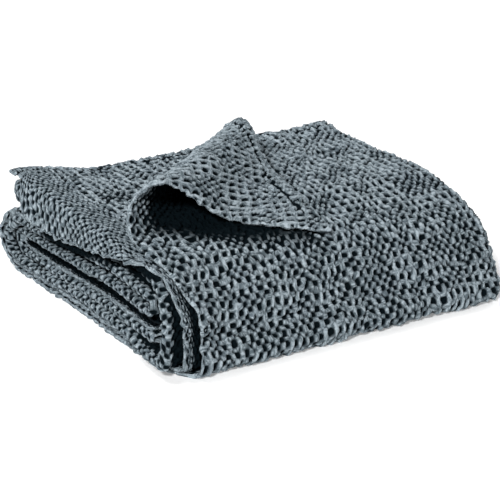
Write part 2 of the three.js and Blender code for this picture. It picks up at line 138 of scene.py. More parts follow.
ply = cloth["plyWidth"]
bendStart = ply + cloth["outerBend"] + ply
bendFinish = bendStart + cloth["leftBend"]
secondEnd = bendFinish + ply + cloth["innerBend"] + ply + cloth["margin"]
legCount = 9

# the crease is an arc of a circle: its radius follows from the chord and the bow
(startX, startY), (endX, endY), bow = corner["start"], corner["end"], corner["bow"]
chord = math.hypot(endX - startX, endY - startY)
creaseRadius = (chord ** 2 / 4 + bow ** 2) / (2 * bow)
creaseHalf = math.asin(chord / 2 / creaseRadius)
chordHeading = math.atan2(endY - startY, endX - startX)
creaseHeading = chordHeading - creaseHalf
creaseLength = 2 * creaseHalf * creaseRadius
centreX = startX - creaseRadius * math.sin(creaseHeading)
centreY = startY + creaseRadius * math.cos(creaseHeading)


# eased step from 0 to 1 between low and high: three times the square less twice the cube
def smooth(x, low, high):
    t = np.clip((x - low) / (high - low), 0, 1)
    return t * t * (3 - 2 * t)


# a straight mix, a at share 0 and b at share 1
def mix(a, b, share):
    return a + (b - a) * share


# a table's column at places between its rows, eased from row to row
def column(table, number, at):
    after = np.clip(np.searchsorted(table[:, 0], at), 1, len(table) - 1)
    share = smooth(at, table[after - 1, 0], table[after, 0])
    return mix(table[after - 1, number], table[after, number], share)


# height of the middle of a pass, counted from the lowest one
def passLevel(number):
    return pack["half"] + (number - 1) * pack["pass"]


# the back hem of the topmost ply: two straight lines that meet at the crease's end
def coverHemY(x):
    hemX, hemY = corner["hemRight"]
    slopeLeft = (endY - corner["hemLeft"]) / (endX - startX)
    slopeRight = (hemY - endY) / (hemX - endX)
    return endY + (x - endX) * np.where(x < endX, slopeLeft, slopeRight)


# y and z on the fold path: level passes, and between them half-rounds whose radius grows with the
# offset; the lower half of the front fold is a squarer curve, cosine and sine to a power
def foldPath(at, x, offset, cover):
    leg = np.clip(np.floor(at), 0, legCount - 1).astype(int)
    part = at - leg
    sine, cosine = np.sin(np.pi * part), np.cos(np.pi * part)
    low = np.pi / 4 * (1 - np.cos(np.pi * (2 * np.clip(part, 0.5, 1) - 1)))
    reach, rise = pack["frontReach"] + offset, 2 * pack["pass"] + offset
    outer, small, inner = (1.5 * pack["pass"] + offset, pack["pass"] / 2 + offset,
                           pack["pass"] / 2 - offset)
    square = pack["frontSquare"]
    hem = mix(pack["underHemY"], coverHemY(x), cover)
    front, back, bend = pack["frontY"], pack["backY"], pack["smallY"]
    y = np.choose(leg, [
        mix(hem, front, part),
        front - reach * np.where(part < 0.5, sine, np.cos(low) ** square),
        mix(front, back, part), back + outer * sine, mix(back, bend, part), bend - small * sine,
        mix(bend, back, part), back + inner * sine, mix(back, pack["endY"], part)])
    z = np.choose(leg, [
        passLevel(5) + offset,
        passLevel(3) + rise * np.where(part < 0.5, cosine, -np.abs(np.sin(low)) ** square),
        passLevel(1) - offset, passLevel(2.5) - outer * cosine, passLevel(4) + offset,
        passLevel(3.5) + small * cosine, passLevel(3) - offset, passLevel(2.5) + inner * cosine,
        passLevel(2) + offset])
    return y, z


# how the pack settles: each layer's height drops at the left and the back, the top rounds down to
# a front that slants, and the foot of the front spreads
def settle(x, y, z):
    s = settling
    left, right = 1 - smooth(x, *s["leftX"]), smooth(x, *s["rightX"])
    backward = smooth(y, *s["backY"])
    back = backward * (s["backShare"][0] + s["backShare"][1] * left)
    gapLeft, gapBack = left * smooth(y, *s["gapY"]), left * backward
    frontDrop = (s["frontDrop"] + s["frontDropRight"] * right) * (1 - smooth(y, *s["frontDropY"]))
    rightDrop = s["rightDrop"] * smooth(x, *s["rightDropX"]) * (1 - smooth(y, *s["rightDropY"]))
    sag = smooth(x, *s["sagInX"]) * (1 - smooth(x, *s["sagOutX"])) * smooth(y, *s["sagY"])
    lift = (1 - smooth(x, *s["liftX"])) * smooth(y, *s["liftY"])
    topDrop = frontDrop + rightDrop + s["backSag"] * sag - s["backLift"] * lift
    squash = 1 - frontDrop / pack["height"]
    inside = np.clip(z, 0, pack["height"])
    settled = np.zeros_like(inside)
    previous = None
    for height, leftSink, backSink, leftOpen, backOpen in settledLayers:
        if height == pack["height"]:
            here = height - topDrop
        elif height <= s["firm"]:
            here = height
        else:
            here = (height - leftSink * left - backSink * back
                    + leftOpen * gapLeft + backOpen * gapBack) * squash
        if previous is not None:
            share = (inside - previous[0]) / (height - previous[0])
            settled = np.where((share > 0) & (share <= 1), mix(previous[1], here, share), settled)
        previous = (height, here)
    slant = ((s["slant"] + s["slantRight"] * right) * smooth(inside / pack["height"], *s["slantRise"])
             * (1 - smooth(y, *s["slantY"])))
    spread = s["foot"] + s["footLeft"] * (1 - right)
    foot = spread * (1 - smooth(inside, 0, s["footHeight"])) * (1 - smooth(y, *s["footY"]))
    return np.stack([x, y + slant - foot, settled + z - inside], -1)


# the section across the strip: four plies as straight runs at their levels, joined by a wide
# half-round and a narrow one at the right and a loose half-round at the left, and a margin that
# bends down and goes on straight
def stripSection(across, at):
    c = cloth
    coverEdge, hinge, tail, turn, bendEdge, lean = (column(leftEnd, k, at) for k in range(1, 7))
    bendX = column(rightEnd, 1, at) - pack["half"]
    coverLevel, secondLevel = 1.5 * c["plyPitch"], 0.5 * c["plyPitch"]
    levels = {"second": (secondLevel, 0), "third": (-secondLevel, 1), "fourth": (-coverLevel, 1)}

    # a ply's level, where the rise and the lean fade out away from the loose bend
    def level(name, x):
        base, leans = levels[name]
        swollen = c["swell"][name] * (1 - smooth(x, *(bendEdge + end for end in c["swellFade"])))
        leant = leans * lean * (1 - smooth(x, *(bendEdge + end for end in c["leanFade"])))
        return base + swollen + leant

    widths = np.array([ply, c["outerBend"], ply, c["leftBend"], ply, c["innerBend"], ply, c["margin"]])
    starts = np.cumsum([0, *widths[:-1]])
    run = np.clip(np.searchsorted(starts, across, side="right") - 1, 0, len(widths) - 1)
    share = (across - starts[run]) / widths[run]
    sine, cosine = np.sin(np.pi * share), np.cos(np.pi * share)
    leftX = bendEdge + c["leftBendDepth"] + c["half"]
    fourthX, thirdX = mix(bendX, leftX, share), mix(leftX, bendX, share)
    fourthEnd, thirdEnd = level("fourth", leftX), level("third", leftX)
    secondX = mix(bendX, hinge, share)
    turnAll = np.radians(np.maximum(turn, c["leastTurn"]))
    turnLength = np.minimum(c["marginTurn"], tail)
    wayDown = share * (turnLength + np.maximum(tail - turnLength, c["leastTail"]))
    turned = np.minimum(wayDown / turnLength, 1) * turnAll
    straight = np.maximum(wayDown - turnLength, 0)
    tailX = hinge - turnLength / turnAll * np.sin(turned) - straight * np.cos(turnAll)
    tailDrop = turnLength / turnAll * (1 - np.cos(turned)) + straight * np.sin(turnAll)
    x = np.choose(run, [
        mix(coverEdge, bendX, share), bendX + coverLevel * sine, fourthX,
        leftX - c["leftBendDepth"] * sine, thirdX, bendX + secondLevel * sine, secondX, tailX])
    offset = np.choose(run, [
        coverLevel + 0 * share, coverLevel * cosine, level("fourth", fourthX),
        (thirdEnd + fourthEnd) / 2 - (thirdEnd - fourthEnd) / 2 * cosine, level("third", thirdX),
        -secondLevel * cosine, level("second", secondX), level("second", hinge) - tailDrop])
    cover = np.choose(run, [1 + 0 * share, 1 - share] + [0 * share] * 6)
    return x, offset, cover


# the turned corner: polar coordinates about the crease's centre give the place along the crease and
# the length past it; that length goes round an arc, down a slope and out over an easing arc
def turnCorner(x, y):
    c = corner
    toX, toY = x - centreX, y - centreY
    length = creaseRadius - np.hypot(toX, toY)
    heading = np.arctan2(toX, -toY)
    along = (heading - creaseHeading) * creaseRadius
    radius = mix(*c["radius"], np.clip(along / creaseLength, 0, 1))
    slope, ease = c["slope"], c["ease"]
    roundLength, easeLength = radius * (math.pi + slope), ease * slope
    fall = radius * (1 + math.cos(slope)) - ease * (1 - math.cos(slope))
    slopeLength = (fall - c["rest"]) / math.sin(slope)
    turned = np.clip(length, 0, roundLength) / radius
    down = np.clip(length - roundLength, 0, slopeLength)
    eased = np.clip(length - roundLength - slopeLength, 0, easeLength) / ease
    out = (-radius * np.sin(turned) + down * math.cos(slope)
           + ease * (math.sin(slope) - np.sin(slope - eased))
           + np.maximum(length - roundLength - slopeLength - easeLength, 0))
    height = (radius * (1 - np.cos(turned)) - down * math.sin(slope)
              - ease * (np.cos(slope - eased) - math.cos(slope)))
    stretched = out * (1 + c["stretch"] * np.clip(out / c["stretchWidth"], 0, 1))
    sheared = c["shear"] * np.maximum(out, 0)
    sine, cosine = np.sin(heading), np.cos(heading)
    creaseX, creaseY = centreX + creaseRadius * sine, centreY - creaseRadius * cosine
    return (length > 0, creaseX + stretched * sine - sheared * cosine,
            creaseY - stretched * cosine - sheared * sine, height)


# x and y of a place before the corner is turned over: the section, then the fold path
def beforeTurn(across, at):
    x, offset, cover = stripSection(across, at)
    return x, foldPath(at, x, offset, cover)[0]


# the middle surface of the cloth: section, fold path, turned corner and settling one after the other
def clothMiddle(across, at):
    x, offset, cover = stripSection(across, at)
    y, z = foldPath(at, x, offset, cover)
    turned, turnedX, turnedY, height = turnCorner(x, y)
    turned &= (across <= ply) & (at < 1)
    return settle(np.where(turned, turnedX, x), np.where(turned, turnedY, y),
                  np.where(turned, z + height, z))


# length along the fold path against the place on it, measured on the strip's middle line
legSamples, middleX, middleCover = 800, 250, 0.5
places = np.linspace(0, legCount, legCount * legSamples + 1)[:-1]
pathY, pathZ = foldPath(places, places * 0 + middleX, places * 0, places * 0 + middleCover)
pathLength = np.concatenate([[0], np.cumsum(np.hypot(np.diff(pathY), np.diff(pathZ)))])


# the length at which a leg begins
def legStart(number):
    return float(np.interp(number, places, pathLength))


# the place on the path that belongs to a length
def placeAlong(along):
    return np.interp(along, pathLength, places)


# a sum of sine waves in scattered directions, about as long as the size and 1 high, and the same on
# every run
def waves(a, b, size, seed, count=9):
    draw = np.random.default_rng(seed)
    angle, phase = draw.uniform(0, 2 * np.pi, count), draw.uniform(0, 2 * np.pi, count)
    turns = 2 * np.pi / size * draw.uniform(0.6, 1.5, count)
    total = 0
    for k in range(count):
        total = total + np.sin(turns[k] * (np.cos(angle[k]) * a + np.sin(angle[k]) * b) + phase[k])
    return total * math.sqrt(2 / count) * 0.7


weave = {
    "cellAcross": 11.4, "cellAlong": 12.9,
    "warp": 0.16, "warpSize": 60, "jitter": 0.055, "jitterSize": 17,
    # how far the hollows are shut, and how this changes from place to place
    "shut": 0.15, "shutSpread": 0.22, "shutSize": 19, "tightSpread": 3, "rim": (-0.4, 0.5),
    "bandShut": 2, "ropeShut": 0.85, "grooveShut": 1.8, "calmShut": 1.5,
    # how far one hollow of each cell grows over the other
    "favour": 0.75, "favourTop": 0.7, "favourSize": 62, "favourShift": 0.08,
    "favourLimit": 0.5, "favourLimitTop": 0.35,
    # heights: the hollows, the raised cells and the ropes of yarn between them
    "pit": 4, "puff": 1.3, "puffSpread": 0.6, "puffSize": 13, "sunk": 0.5, "calmHeight": 0.3,
    "rope": 1.5, "ropeSway": 0.1, "ropePower": 5, "ropeFade": (0.02, 0.4),
    "bandHeight": 0.1, "groove": 3.6, "cord": 1.7,
    # soft lumps of the whole cloth, which fade out at its open borders
    "lump": 0.9, "lumpSize": 75, "knot": 0.5, "knotSize": 24, "lumpFade": (0, 30),
    # differences between the parts of the cloth
    "top": (0.8, 1.2),  # places on the path between which the topmost ply's weave ends
    "topOpen": 0.12, "topOpenUnder": 0.3, "coverUnder": 0.05, "curlRopes": 0.75,
    "calmFade": 12,  # over which the relief of a hidden side ends
    "coveredFrom": (8, 20), "coveredEdge": (50, 60),
}

# the second ply's hanging margin has a closer and flatter net with few ropes
hangingNet = {"fade": (66, 42), "relief": 0.3, "roped": 0.85, "closed": 0.42}


# one side of the cloth: the raised cells are a product of cosines, the hollows an eased step on it.
# In patches one hollow of each cell grows over the other, and a rope of yarn runs along between
def cellRelief(p, q, plain, calm, groove, cord, relief, roped, tight, top):
    w = weave
    acrossAt, alongAt = p * w["cellAcross"], q * w["cellAlong"]

    def wave(size, seed):
        return waves(acrossAt, alongAt, w[size], seed)

    p = p + w["warp"] * wave("warpSize", 11) + w["jitter"] * wave("jitterSize", 12)
    q = q + w["warp"] * wave("warpSize", 13) + w["jitter"] * wave("jitterSize", 14)
    favour = roped * np.clip(
        w["favour"] * wave("favourSize", 17) + w["favourTop"] * top + w["favourShift"],
        -w["favourLimit"], w["favourLimit"] + w["favourLimitTop"] * top)
    cosP, cosQ = np.cos(2 * np.pi * p), np.cos(2 * np.pi * q)
    field = cosP * cosQ + favour * (cosP + cosQ) / 2
    swayed = np.cos(2 * np.pi * (p + w["ropeSway"] * np.sin(2 * np.pi * q)))
    rope = np.maximum(-np.sign(favour) * swayed, 0) ** w["ropePower"]
    rope = rope * smooth(np.abs(favour), *w["ropeFade"])
    spread = (1 + w["tightSpread"] * np.abs(tight)) * w["shutSpread"]
    shut = w["shut"] + tight + spread * wave("shutSize", 15)
    shut = shut + plain * w["bandShut"] + rope * w["ropeShut"] + cord - w["grooveShut"] * groove
    hollow = smooth(field - shut, *w["rim"])
    puff = w["puff"] * (0.5 - 0.5 * field) * (1 + w["puffSpread"] * wave("puffSize", 16))
    height = mix(puff + w["rope"] * rope - w["sunk"], w["bandHeight"], plain) - w["pit"] * hollow
    height = height * relief + w["cord"] * cord - w["groove"] * groove
    cells = np.stack([p, q], -1)
    return mix(height, w["calmHeight"], calm), cells, shut, favour


# grid lines in runs of start, end and step, each divided evenly into steps of about that length
def spans(*runs):
    lines = [np.linspace(start, end, max(2, round((end - start) / step) + 1))[:-1]
             for start, end, step in runs]
    return np.concatenate(lines + [[runs[-1][1]]])


# the number of the line nearest to a place
def nearestLine(lines, place):
    return int(np.argmin(np.abs(lines - place)))


# each border's axis in the grid, and whether it is the last line there
borders = {"left": (1, False), "right": (1, True), "hem": (0, False), "end": (0, True)}


# distance from one border of the grid: the sum of the steps between its lines
def distanceFrom(points, border):
    axis, fromEnd = borders[border]
    step = np.linalg.norm(np.diff(points, axis=axis), axis=-1)
    if fromEnd:
        step = np.flip(step, axis)
    total = np.insert(np.cumsum(step, axis=axis), 0, 0, axis)
    return np.flip(total, axis) if fromEnd else total


# vectors divided by their lengths
def unit(vectors):
    return vectors / np.maximum(np.linalg.norm(vectors, axis=-1, keepdims=True), 1e-9)


# unit normals: the cross product of the grid's two gradients
def gridNormals(points):
    return unit(np.cross(np.gradient(points, axis=0), np.gradient(points, axis=1)))


curlShade = {
    "left": (-48, 16), "into": (6, 70), "tip": (-4, 34),  # distances in from the curl's three sides
    "end": 1.2,  # place on the path where the shade ends
    "edge": (18, 400, 78),  # the first and the last of the points on an edge, and their number
    # the painted contact shadow along the edges that rest on the cloth: how high they may lie, its
    # width and its strength
    "touches": 16, "near": (1, 6), "nearShare": 0.85,
    "passLength": 340, "inward": (12, 50),
}


# painted shade of the topmost ply in and under the turned corner's curl, 0 to 1: on the turned cloth
# it grows with the distance from the edges, under it with the distance in from its selvedge
def curlPaintedShade(across, at, x, y, curled, sign):
    if sign < 0 or across[0, 0] > ply:
        return across * 0
    c = curlShade
    tip = clothMiddle(np.array([0.0]), np.array([0.0]))[0]

    def leftOf(start, end):
        runX, runY = end[0] - start[0], end[1] - start[1]
        return (runX * (y - start[1]) - runY * (x - start[0])) / math.hypot(runX, runY)

    into = (x - startX) * math.cos(chordHeading) + (y - startY) * math.sin(chordHeading)
    under = (smooth(leftOf(corner["start"], tip), *c["left"]) * smooth(into, *c["into"])
             * smooth(leftOf(tip, corner["end"]), *c["tip"]) * (at < c["end"]))
    # and a painted contact shadow close to the edges that rest on the cloth under them
    line = np.linspace(*c["edge"])
    edgeAcross = np.concatenate([line, line * 0])
    edgeAt = np.concatenate([line * 0, line / line[-1]])
    lifted, edgeX, edgeY, edgeHeight = turnCorner(*beforeTurn(edgeAcross, edgeAt))
    rests = lifted & (edgeHeight < c["touches"])
    near = np.hypot(x[..., None] - edgeX[rests], y[..., None] - edgeY[rests]).min(-1)
    under = np.maximum(under, c["nearShare"] * (1 - smooth(near, *c["near"])) * (at < c["end"]))
    inside = smooth(np.minimum(across, at * c["passLength"]), *c["inward"])
    return np.where(curled, inside, under) * (across < ply)


gapShade = {
    "inward": (5, 14),  # over which the shade grows in from an open edge or the bend
    "recessFrom": 2.2,  # place on the path past which a bend set back is darker
    "edge": (1, 0, 60), "below": (9, 18), "bendWidth": 40,  # under the second ply's edge
    "rightFade": (34, 10), "rightWidth": 60,  # the bend at the right is in the light
}


# painted shade in the gaps between the plies, 0 to 1: it grows in from the open edge or the
# loose bend. inner lists the sides that lie in a gap
def gapPaintedShade(edge, across, at, middle, inner, sign):
    if sign not in inner:
        return across * 0
    g = gapShade
    fromBend = np.abs(across - (bendStart + cloth["leftBend"] / 2))
    edgeX = np.where(across < ply, column(leftEnd, 1, at),
                     column(leftEnd, 2, at) - column(leftEnd, 3, at))
    setBack = np.maximum(edgeX - column(leftEnd, 5, at), 0)
    recess = setBack * (len(inner) > 1) * (at > g["recessFrom"])
    # painted shade on the bends close under the edge of the second ply, which hangs over them
    line = np.linspace(*g["edge"])
    hanging = clothMiddle(line * 0 + secondEnd, line)
    below = np.interp(middle[..., 1], hanging[:, 1], hanging[:, 2]) - middle[..., 2]
    under = (1 - smooth(below, *g["below"])) * (fromBend < g["bendWidth"])
    lit = smooth(across, *(ply - end for end in g["rightFade"])) * (across < ply + g["rightWidth"])
    return np.maximum(smooth(np.minimum(edge + recess, fromBend), *g["inward"]), under) * (1 - lit)


edging = {
    "band": (0.3, 2.3), "bandSway": 0.8,  # a plain band without cells, and its share of the sway
    "sway": 1.6, "swaySize": 13, "swayReach": 14, "cornerSway": (15, 50),
    "radius": 2.4, "leastRound": 0.01,  # of the rounding of the edge itself
    "hem": 18.5, "hemFade": (12, 60), "grooveWidth": 3,
    "cordWidth": 2, "cordPlace": 5, "outerCord": 0.8,
    "lift": {"left": 6, "right": -3}, "liftWidth": 34,  # on the front fold
    "liftRise": (1.05, 1.4), "liftFall": (1.62, 1.95),
    "farOff": 1e3,  # the distance where there is no open border
}


# the middle surface with soft lumps along its normal, a sum of waves, and with the edges that stand
# off a little on the front fold
def loosen(middle, across, along, at, edge, free, lumps):
    w, e = weave, edging
    normal = gridNormals(middle)
    knots = w["knot"] * waves(across, along, w["knotSize"], 23)
    lump = lumps * w["lump"] * (1 + waves(across, along, w["lumpSize"], 21)) + knots * lumps
    middle = middle + normal * (lump * smooth(edge, *w["lumpFade"]))[..., None]
    for border in free:
        if border in e["lift"]:
            place = smooth(at, *e["liftRise"]) * (1 - smooth(at, *e["liftFall"]))
            near = 1 - smooth(distanceFrom(middle, border), 0, e["liftWidth"])
            middle = middle + normal * (e["lift"][border] * place * near)[..., None]
            normal = gridNormals(middle)
    return middle, normal


# the open edges sway in the sheet's own surface, and the square beside two of them becomes a quarter
# of a disc: each border is drawn in by an amount that grows with the nearness of the other one
def drawEdges(middle, sway, free):
    radius = cloth["cornerRound"]
    distances = [distanceFrom(middle, border) for border in free]
    inset = [np.maximum(radius - distance, 0) for distance in distances]
    other = [0]
    if len(inset) > 1:
        other = inset[::-1]
        sway = sway * smooth(np.hypot(*distances), *edging["cornerSway"])
    for k, border in enumerate(free):
        axis, fromEnd = borders[border]
        toward = unit(np.gradient(middle, axis=axis) * (-1 if fromEnd else 1))
        drawnIn = inset[k] * (1 - np.sqrt(1 - (other[k] / radius) ** 2 / 2))
        near = 1 - smooth(distances[k], 0, edging["swayReach"])
        middle = middle + toward * (sway * near + drawnIn)[..., None]
    return middle, sway


# a hem is marked off by a groove between two cords of yarn, each a bell curve over the distance
def hemMarks(fromHem, fromLeft):
    def bell(x, width):
        return np.exp(-(x / width) ** 2)

    e = edging
    past = fromHem - e["hem"]
    marked = smooth(fromLeft, *e["hemFade"])
    cords = (bell(past - e["cordPlace"], e["cordWidth"])
             + e["outerCord"] * bell(past + e["cordPlace"], e["cordWidth"]))
    return marked * bell(past, e["grooveWidth"]), marked * cords


# a sheet on a grid of across and along lines: its middle surface, and each side half a thickness and
# its relief away from it. free lists its borders that are edges of the cloth; hidden is the side that
# isn't seen, and how far in from them it has relief; measured cells follow the surface, the others
# the flat coordinates; dense says from where on and by how much they are smaller; inner lists the
# sides that lie in a gap
def weaveSheet(acrossLines, alongLines, free, hidden=(0, 0), measured=False, lumps=1, inner=(),
               relief=1, roped=1, dense=(0, 1), closed=0, hanging=False):
    w, e = weave, edging
    across, along = np.meshgrid(acrossLines, alongLines)
    at = placeAlong(along)
    middle = clothMiddle(across, at)
    fromLeft = distanceFrom(middle, "left")
    if measured:
        p = (fromLeft - fromLeft[:, [nearestLine(acrossLines, ply)]]) / w["cellAcross"]
        q = (alongLines[-1] - distanceFrom(middle, "end")) / w["cellAlong"]
    else:
        p, q = (across - ply) / w["cellAcross"], along / w["cellAlong"]
    p = p + (dense[1] - 1) * np.maximum(across - dense[0], 0) / w["cellAcross"]
    if hanging:
        net = hangingNet
        hangs = smooth(across, *(secondEnd - end for end in net["fade"]))
        relief, roped = relief - net["relief"] * hangs, roped - net["roped"] * hangs
        closed = closed + net["closed"] * hangs
    edge = np.full(across.shape, e["farOff"])
    for border in free:
        edge = np.minimum(edge, distanceFrom(middle, border))
    middle, normal = loosen(middle, across, along, at, edge, free, lumps)
    sway = e["sway"] * waves(across, along, e["swaySize"], 22)
    middle, sway = drawEdges(middle, sway, free)
    plain = 1 - smooth(edge + e["bandSway"] * sway, *e["band"])
    edgeRound = np.sqrt(np.clip(1 - (1 - np.clip(edge / e["radius"], 0, 1)) ** 2, e["leastRound"], 1))
    fromHem = distanceFrom(middle, "hem") + sway if "hem" in free else edge + e["farOff"]
    groove, cord = hemMarks(fromHem, fromLeft)
    # the hollows are wider in the top pass, but closer on the under side of the measured sheets
    top = 1 - smooth(at, *w["top"])
    tight = {1: closed - w["topOpen"] * top,
             -1: w["coverUnder"] if measured else closed - w["topOpenUnder"] * top}
    # and few ropes run along the inside of the curl
    x, y = beforeTurn(across, at)
    curled = turnCorner(x, y)[0] & (at < 1) & (across < ply)
    ropes = {1: roped * (1 - w["curlRopes"] * curled), -1: roped}
    reliefs = []
    for sign, shift in ((1, 0.0), (-1, 0.5)):
        calm = smooth(edge, hidden[1] - w["calmFade"], hidden[1]) * (sign == hidden[0])
        if "right" in free:  # where the topmost ply lies on it
            covered = np.hypot(x - centreX, y - centreY) - creaseRadius
            covered = smooth(covered, *w["coveredFrom"]) * smooth(edge, *w["coveredEdge"])
            calm = np.maximum(calm, covered)
        reliefs.append(cellRelief(p + shift, q, plain, calm, groove, cord, relief, ropes[sign],
                                  tight[sign], top) + (calm,))
    # the hollows of the two sides never meet
    thin = cloth["thinnest"] - 2 * cloth["half"] - reliefs[0][0] - reliefs[1][0]
    sides = {}
    for sign, (height, cells, shut, favour, calm) in zip((1, -1), reliefs):
        outward = cloth["half"] + height + np.maximum(thin, 0) / 2
        surface = middle + normal * (sign * outward * edgeRound)[..., None]
        surface[..., 2] = np.maximum(surface[..., 2], 0)
        # painted shade of the curl and of the gaps between the plies, by which the colour is darkened
        paintedShade = np.maximum(curlPaintedShade(across, at, x, y, curled, sign),
                          gapPaintedShade(edge, across, at, middle, inner, sign))
        sides[sign] = {"points": surface, "normals": gridNormals(surface) * sign, "cells": cells,
                       "shut": shut + calm * w["calmShut"], "favour": favour, "paintedShade": paintedShade}
    return sides


# numbers of the grid lines that the coarser side keeps: all near an open border, few elsewhere
def keptLines(lines, step, openStart, openEnd):
    number = np.arange(len(lines))
    fine = (lines < lines[0] + openStart) | (lines > lines[-1] - openEnd)
    return np.unique(np.concatenate([number[fine], number[::step], number[-1:]]))


# faces of a closed sheet: a full grid on one side, the kept lines on the other, and walls that fan
# between their borders
def shellFaces(rows, columns, keepRows, keepColumns, flip):
    full = np.arange(rows * columns).reshape(rows, columns)
    thin = rows * columns + np.arange(len(keepRows) * len(keepColumns)).reshape(len(keepRows), -1)

    def quads(g):
        return np.stack([g[:-1, :-1], g[1:, :-1], g[1:, 1:], g[:-1, 1:]], -1).reshape(-1, 4)

    walls = []
    for fine, kept, coarse in (
            (full[0], keepColumns, thin[0]),
            (full[:, -1], keepRows, thin[:, -1]),
            (full[-1, ::-1], (columns - 1 - keepColumns)[::-1], thin[-1, ::-1]),
            (full[::-1, 0], (rows - 1 - keepRows)[::-1], thin[::-1, 0])):
        piece = np.searchsorted(kept, np.arange(len(fine) - 1), side="right") - 1
        walls.append(np.stack([fine[:-1], fine[1:], coarse[piece]], -1))
        walls.append(np.stack([fine[kept[1:]], coarse[1:], coarse[:-1]], -1))
    fours = np.concatenate([quads(full), quads(thin)[:, ::-1]])
    threes = np.concatenate(walls)
    if flip:
        fours, threes = fours[:, ::-1], threes[:, ::-1]
    return fours, threes


# an object in the scene
def addObject(name, data):
    made = bpy.data.objects.new(name, data)
    bpy.context.scene.collection.objects.link(made)
    return made


# a piece of a sheet, closed all round: the cut says between which lines it lies, which side has all
# of them, and what the other one keeps of the rows and the columns
def makePiece(name, sides, acrossLines, alongLines, cut, material):
    def between(lines, ends):
        first, last = ends or (lines[0], lines[-1])
        return slice(nearestLine(lines, first), nearestLine(lines, last) + 1)

    rows, columns = between(alongLines, cut.get("along")), between(acrossLines, cut.get("across"))
    keepRows = keptLines(alongLines[rows], *cut["keep"][0])
    keepColumns = keptLines(acrossLines[columns], *cut["keep"][1])
    fineSide = cut.get("fineSide", 1)
    fine, other = sides[fineSide], sides[-fineSide]
    count = fine["shut"][rows, columns].shape
    fours, threes = shellFaces(*count, keepRows, keepColumns, fineSide == -1)

    def both(key):
        a = fine[key][rows, columns]
        b = other[key][rows, columns][keepRows][:, keepColumns]
        return np.concatenate([a.reshape(-1, *a.shape[2:]), b.reshape(-1, *b.shape[2:])])

    points = (both("points") - np.array([*cloth["middle"], 0])) / 1000
    corners = np.concatenate([fours.ravel(), threes.ravel()])
    starts = np.concatenate([np.arange(len(fours)) * 4, len(fours) * 4 + np.arange(len(threes)) * 3])
    mesh = bpy.data.meshes.new(name)
    mesh.vertices.add(len(points))
    mesh.vertices.foreach_set("co", points.astype(np.float32).ravel())
    mesh.loops.add(len(corners))
    mesh.loops.foreach_set("vertex_index", corners.astype(np.int32))
    mesh.polygons.add(len(starts))
    mesh.polygons.foreach_set("loop_start", starts.astype(np.int32))
    mesh.polygons.foreach_set("use_smooth", np.ones(len(starts), bool))
    mesh.update(calc_edges=True)
    uv = mesh.uv_layers.new(name="weave")
    uv.data.foreach_set("uv", both("cells")[corners].astype(np.float32).ravel())
    for key in ("shut", "favour", "paintedShade"):
        values = mesh.attributes.new(key, "FLOAT", "POINT")
        values.data.foreach_set("value", both(key).astype(np.float32).ravel())
    mesh.normals_split_custom_set_from_vertices(both("normals").astype(np.float32))
    mesh.materials.append(material)
    print(f"  {name}: {len(fours) * 2 + len(threes)} triangles")
    return addObject(name, mesh)


# wraps a socket, so that sums and products of values add their Math nodes
class Tone:
    def __init__(self, tree, socket):
        self.tree, self.socket = tree, socket

    def combine(self, operation, *values):
        return self.tree.node("ShaderNodeMath", {"operation": operation}, dict(enumerate(values)))

    def __add__(self, other):
        return self.combine("ADD", self, other)

    def __sub__(self, other):
        return self.combine("SUBTRACT", self, other)

    def __rsub__(self, other):
        return self.combine("SUBTRACT", other, self)

    def __mul__(self, other):
        return self.combine("MULTIPLY", self, other)

    def cosine(self):
        return self.combine("COSINE", self)

    # an eased step from 0 to 1, as smooth gives
    def ease(self, low, high):
        return self.tree.node("ShaderNodeMapRange", {"interpolation_type": "SMOOTHSTEP"},
                              {"Value": self, "From Min": low, "From Max": high})


# a material's nodes: node() makes one of a type with its settings and its sockets' values or links
class Tree:
    def __init__(self, material):
        material.use_nodes = True
        self.nodes, self.links = material.node_tree.nodes, material.node_tree.links
        self.shader = self.nodes["Principled BSDF"]

    def node(self, kind, settings=None, sockets=None, output=0):
        made = self.nodes.new(kind)
        for key, value in (settings or {}).items():
            setattr(made, key, value)
        for key, value in (sockets or {}).items():
            self.feed(made.inputs[key], value)
        return Tone(self, made.outputs[output])

    def feed(self, socket, value):
        if isinstance(value, Tone):
            self.links.new(value.socket, socket)
        else:
            socket.default_value = value

    # values or links of the shader's own sockets
    def finish(self, sockets):
        for key, value in sockets.items():
            self.feed(self.shader.inputs[key], value)

    # a colour mixed from two: the colour sockets of a Mix node are its inputs 6 and 7 and output 2
    def blend(self, share, first, second):
        return self.node("ShaderNodeMix", {"data_type": "RGBA"}, {0: share, 6: first, 7: second}, 2)

    def attribute(self, name):
        return self.node("ShaderNodeAttribute", {"attribute_name": name}, None, 2)

    def noise(self, place, scale, detail):
        values = {"Vector": place, "Scale": scale, "Detail": detail}
        return self.node("ShaderNodeTexNoise", None, values)

    def objectPlace(self):
        return self.node("ShaderNodeTexCoord", None, None, "Object")


